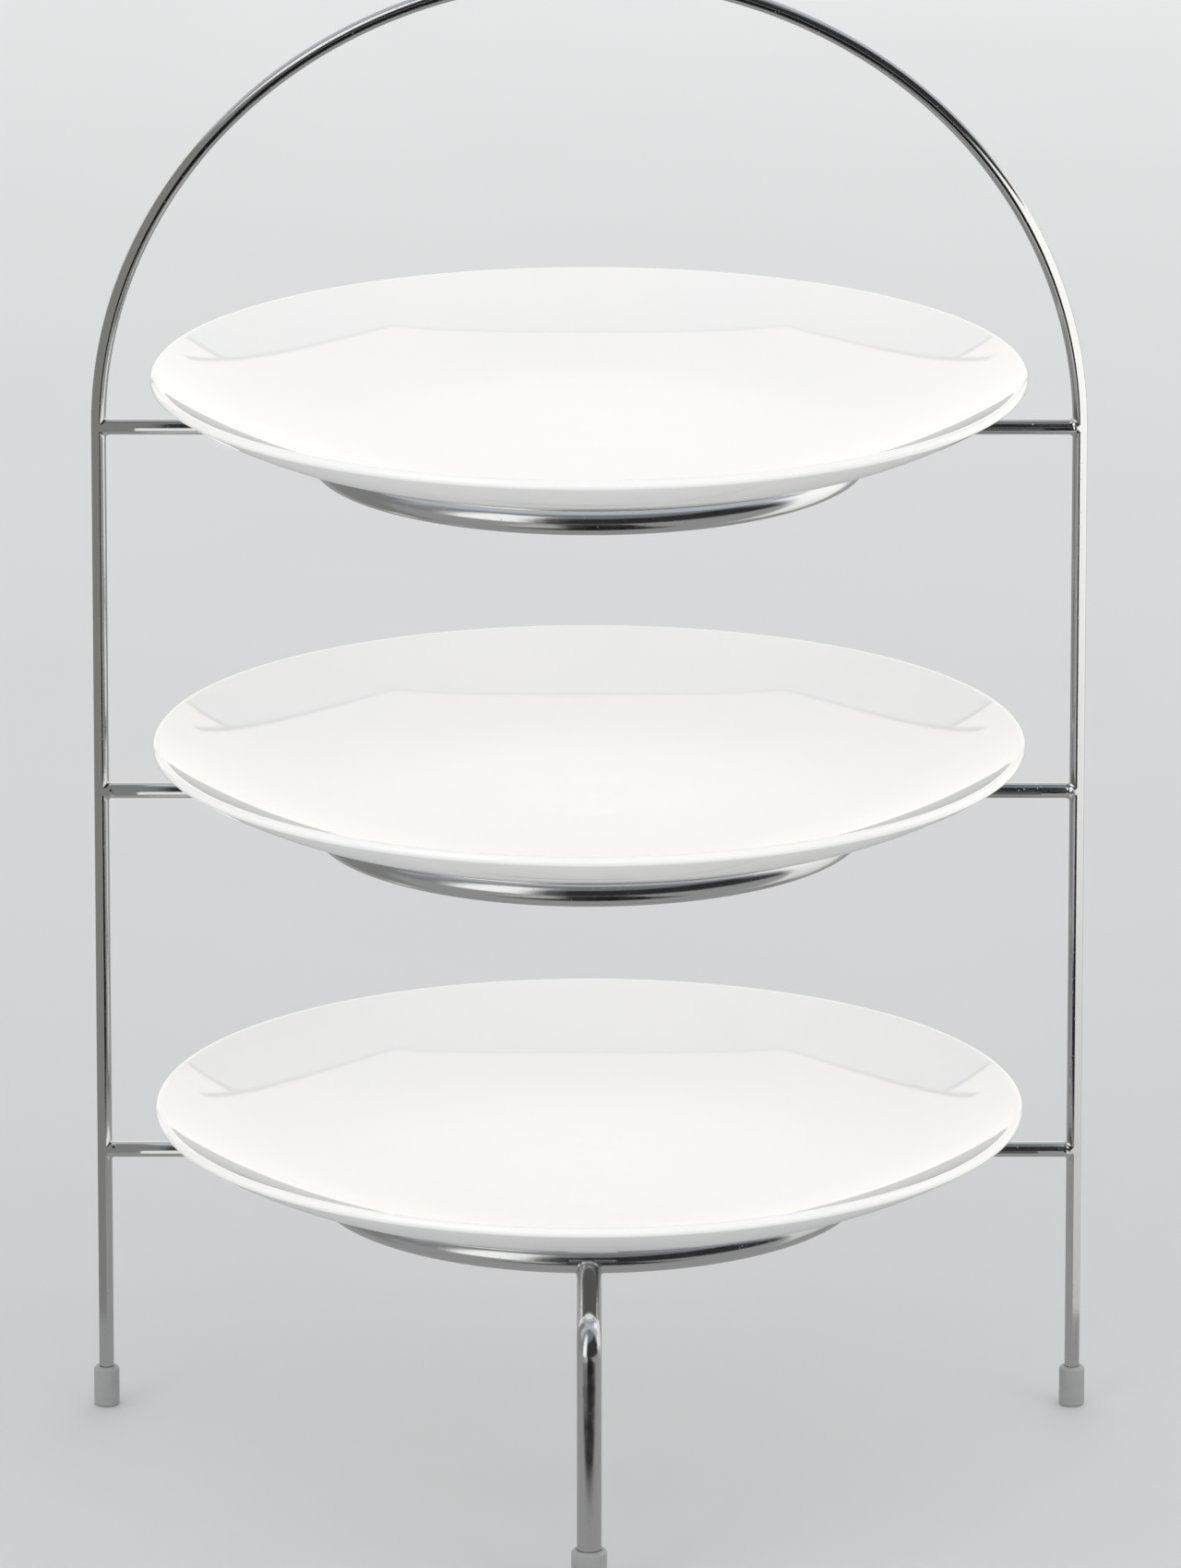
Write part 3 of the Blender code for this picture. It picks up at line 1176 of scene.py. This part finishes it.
@dataclass
class Studio:
    """Floor, lights, reflection cards and camera."""

    layout: Layout
    elevation: float = 15.72
    distance: float = 4.8
    focal_mm: float = 356.15
    target: Pair = (0.0004, 0.2128)
    floor_half: float = 30.0

    def camera(self) -> None:
        """Puts the camera in front, looking slightly down at the stand."""
        angle = math.radians(self.elevation)
        data = bpy.data.cameras.new("studio_camera")
        data.lens = self.focal_mm
        data.clip_start = 0.05
        data.clip_end = 60.0
        item = add_object("studio_camera", data)
        item.location = (self.target[0], self.layout.ring_centre.y - self.distance * math.cos(angle),
                         self.target[1] + self.distance * math.sin(angle))
        item.rotation_euler = (math.pi / 2 - angle, 0.0, 0.0)
        bpy.context.scene.camera = item

    def panel(self, name: str, shape: BMesh, material: Material) -> Object:
        """Makes a stage panel of a mesh, which is used up.

        Args:
            name: The panel's name.
            shape: Its mesh.
            material: What it is covered with.

        Returns:
            The new object.
        """
        data = bpy.data.meshes.new(name)
        shape.to_mesh(data)
        shape.free()
        data.materials.append(material)
        item = add_object(name, data)
        return item

    def card(self, name: str, shape: BMesh, glow: Glow, foot: float = 1.0, top: float = 0.0) -> None:
        """A reflection card that only glossy surfaces see.

        Args:
            name: The card's name.
            shape: Its mesh, which is used up.
            glow: Its light.
            foot: How much of that light it has at floor level.
            top: The height where it has all of it, or 0 for the same light all over.
        """
        material = bpy.data.materials.new(name + "_glow")
        tree = empty_tree(material)
        strength = glow.strength
        if top > 0.0:
            place = add_node(tree, "ShaderNodeTexCoord").outputs["Object"]
            height = add_node(tree, "ShaderNodeSeparateXYZ", {"Vector": place}).outputs["Z"]
            strength = map_range(tree, height, (0.0, top), (foot * glow.strength, glow.strength))
        light = add_node(tree, "ShaderNodeEmission", {"Color": srgb(glow.colour), "Strength": strength})
        add_node(tree, "ShaderNodeOutputMaterial", {"Surface": light.outputs["Emission"]})
        item = self.panel(name, shape, material)
        item.visible_camera = item.visible_diffuse = item.visible_shadow = False
        item.visible_transmission = item.visible_volume_scatter = False

    def sheet(self, corners: tuple[Pair, ...], height: float) -> BMesh:
        """A flat sheet with the given corners, lying at a height.

        Args:
            corners: X and Y of each corner, in order.
            height: Its height.

        Returns:
            The sheet's mesh.
        """
        shape = bmesh.new()
        shape.faces.new([shape.verts.new((x, y, height)) for x, y in corners])
        return shape

    def bent_sheet(self, side: Side, start: float, end: float, top: float) -> BMesh:
        """An upright sheet bent round a side leg.

        Args:
            side: Which leg.
            start: First bearing in degrees, 0 to the front and 90 to the right.
            end: Last bearing.
            top: Its height.

        Returns:
            The sheet's mesh.
        """
        centre = Vector((side.sign * self.layout.leg_x, self.layout.arch_y, 0.0))
        shape = bmesh.new()
        turn = math.radians(start)
        edge = centre + LEG_CARD_RADIUS * Vector((math.sin(turn), -math.cos(turn), 0.0))
        points = [shape.verts.new(edge), shape.verts.new(edge + top * UP)]
        side = shape.edges.new(points)
        bmesh.ops.spin(shape, geom=points + [side], cent=centre, axis=UP,
                       angle=math.radians(end - start), steps=BENT_SHEET_STEPS)
        return shape

    def light(self, box: SoftBox) -> None:
        """Hangs a soft box.

        Args:
            box: Its sizes, place, aim and power.
        """
        data = bpy.data.lights.new(box.name, "AREA")
        data.shape = "RECTANGLE"
        data.size, data.size_y = box.width, box.height
        data.energy = box.watts
        data.color = srgb(box.colour)[:3]
        item = add_object(box.name, data)
        item.location = box.place
        item.rotation_euler = (Vector(box.aim) - Vector(box.place)).to_track_quat("-Z", "Y").to_euler()
        item.visible_glossy = False

    def build(self) -> None:
        """Sets the whole studio up."""
        self.camera()
        bpy.context.scene.view_settings.view_transform = "Standard"
        self.panel("studio_floor", self.sheet(self.floor_corners(), 0.0), PaleFloor().build())
        self.room()
        for box in SOFT_BOXES:
            self.light(box)
        self.cards()

    def floor_corners(self) -> tuple[Pair, ...]:
        """The corners of the whole floor."""
        half = self.floor_half
        return (-half, -half), (half, -half), (half, half), (-half, half)

    def cards(self) -> None:
        """Glowing cards round the stand, seen only in reflections, which paint the grey, dark and white reflected
        streaks on the wires.
        """
        lay = self.layout
        self.card("table_card", self.sheet(self.floor_corners(), TABLE_HEIGHT), TABLE_GLOW)
        for flat in FLOOR_CARDS:
            self.card(flat.name, self.sheet(flat.corners, flat.height), flat.glow)
        # Painted reflections on the side legs: a white card, dimmer towards the floor, paints the right leg's
        # highlight, and a grey card paints the left leg's grey.
        white = self.bent_sheet(Side.RIGHT, 4, 142, 0.425)
        self.card("right_card", white, Glow("FFFFFF", 1.6), 0.5, 0.32)
        grey = self.bent_sheet(Side.LEFT, -135, 10, 0.48)
        self.card("left_card", grey, Glow("989898"))
        for tier in Tier:
            for side, glow in ARM_CARD_GLOWS.items():
                self.arm_card(tier, side, glow)
        # A dark card just above the front leg paints the shaded underside of the lowest plate into the leg's
        # reflection. The cover card on top shows the plates the table's painted reflection instead.
        over_leg = lay.front_leg_level + lay.rod_radius + SHADE_HEIGHT
        self.card("shade_card", self.sheet(SHADE_CORNERS, over_leg), Glow("626262"))
        cover = tuple((x * COVER_WIDTH, y) for x, y in SHADE_CORNERS)
        self.card("shade_cover_card", self.sheet(cover, over_leg + COVER_HEIGHT), TABLE_GLOW)

    def arm_card(self, tier: Tier, side: Side, glow: Glow) -> None:
        """A small glowing card a little in front of and below an arm, seen only in reflections, which paints a
        reflected streak along the arm.
        """
        lay = self.layout
        near, far = (side.sign * (lay.leg_x - away) for away in ARM_CARD_FROM_LEG)
        front, back = (lay.arch_y - away for away in ARM_CARD_BEFORE_ARM)
        strip = self.sheet(((near, front), (far, front), (far, back), (near, back)),
                           lay.ring_heights[tier] - ARM_CARD_DROP)
        self.card(f"{tier.value}_{side.value}_arm_card", strip, glow)

    def room(self) -> None:
        """The world: a plain pale room, an even band of light for matt things, and the mirrored room."""
        world = bpy.data.worlds.new("studio_room")
        bpy.context.scene.world = world
        tree = empty_tree(world)
        room = RoomPaint(tree)
        mirrored = add_node(tree, "ShaderNodeBackground", {"Color": room.paint(MIRRORED_BASE, MIRRORED_ROOM)})
        matt = add_node(tree, "ShaderNodeBackground", {"Color": room.paint(MATT_BASE, MATT_ROOM)})
        pale = add_node(tree, "ShaderNodeBackground", {"Color": srgb(BACKDROP_COLOUR)})
        ray = add_node(tree, "ShaderNodeLightPath")
        lit = add_node(tree, "ShaderNodeMixShader", {
            0: ray.outputs["Is Glossy Ray"], 1: matt.outputs[0], 2: mirrored.outputs[0]})
        seen = add_node(tree, "ShaderNodeMixShader", {
            0: ray.outputs["Is Camera Ray"], 1: lit.outputs[0], 2: pale.outputs[0]})
        add_node(tree, "ShaderNodeOutputWorld", {"Surface": seen.outputs[0]})


# ---- putting it together


def main() -> None:
    """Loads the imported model, builds every piece round it and sets the studio up."""
    logging.basicConfig(level=logging.INFO, format="%(name)s: %(message)s")
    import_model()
    layout = Layout.read()
    Studio(layout).build()
    finishes = Finishes.make()

    ArchWire(layout).build(finishes)
    for tier in Tier:
        SupportRing(layout, tier).build(finishes)
        for side in Side:
            SideArm(layout, tier, side).build(finishes)
        CoupePlate(layout, tier).build(finishes)
    FrontLeg(layout).build(finishes)
    Welds(layout).build(finishes)
    for side in Side:
        FootCap(f"{side.value}_foot_cap", layout.wire_radius).build(finishes)
    FootCap("front_foot_cap", layout.rod_radius).build(finishes)


if __name__ == "__main__":
    main()
